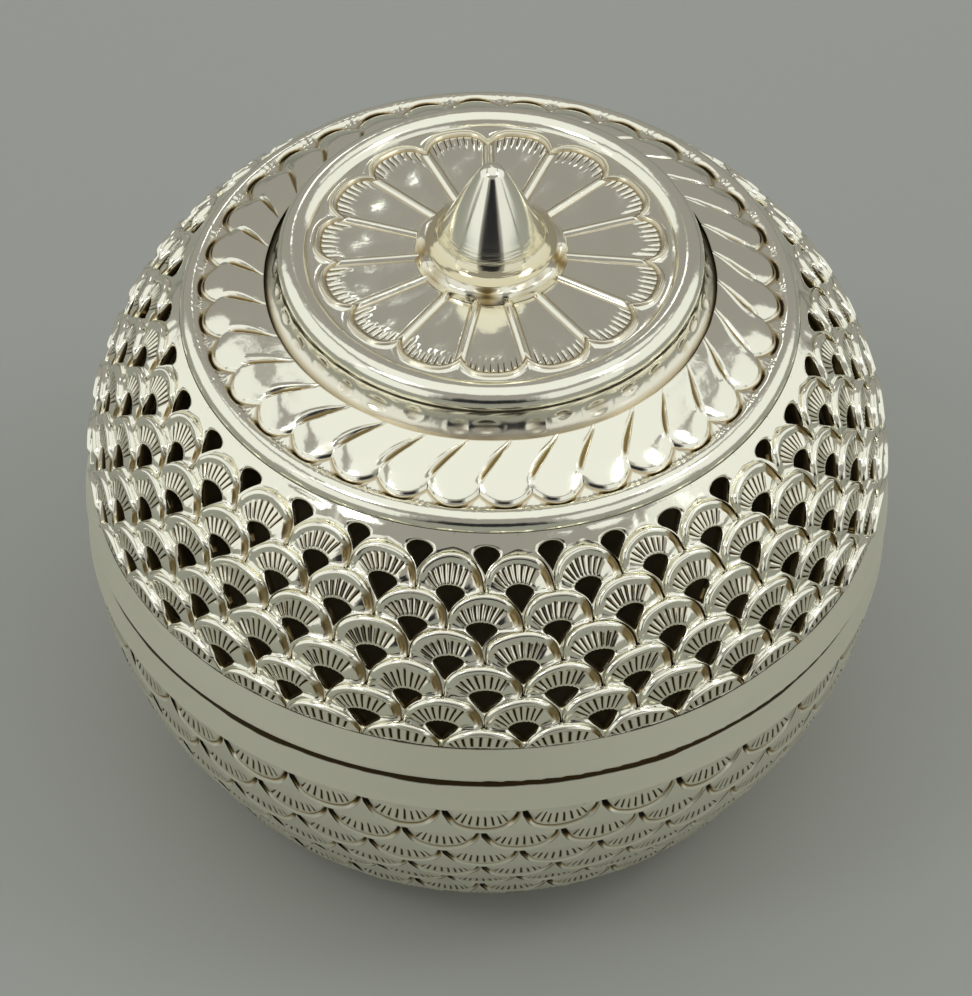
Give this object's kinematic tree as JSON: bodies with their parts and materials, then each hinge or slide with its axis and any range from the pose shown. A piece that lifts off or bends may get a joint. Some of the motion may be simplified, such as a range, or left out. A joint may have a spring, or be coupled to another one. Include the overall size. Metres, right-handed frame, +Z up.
{
  "type": "round silver box",
  "caption": "Round silver box with a chased bowl, a domed lift-off lid pierced in rows of scales, a petalled medallion and a small cone finial.",
  "frame": {"origin": "middle of the flat base, on the surface that the box stands on", "axes": "+Z up along the axis of the bowl, the lid and the finial; the box is round, so +X and +Y only mark directions, with -Y towards the picture's camera"},
  "size_m": [0.08, 0.08, 0.0747],
  "materials": {
    "silver_chased": "polished silver, chased, with warm tarnish in the recesses",
    "silver_plain": "satin silver sheet, rubbed by handling",
    "silver_finial": "polished silver, softly hammered"
  },
  "bodies": {
    "base": {"bowl": "silver_chased", "bowl_band": "silver_plain", "bowl_collar": "silver_plain"},
    "lid": {"lid_band": "silver_plain", "lid_dome": "silver_chased", "lid_medallion": "silver_chased", "finial_flange": "silver_finial", "finial": "silver_finial"}
  },
  "joints": [
    {"name": "lid_lift", "type": "slide", "parent": "base", "child": "lid", "axis": [0, 0, 1], "range_m": [0, 0.045]}
  ]
}
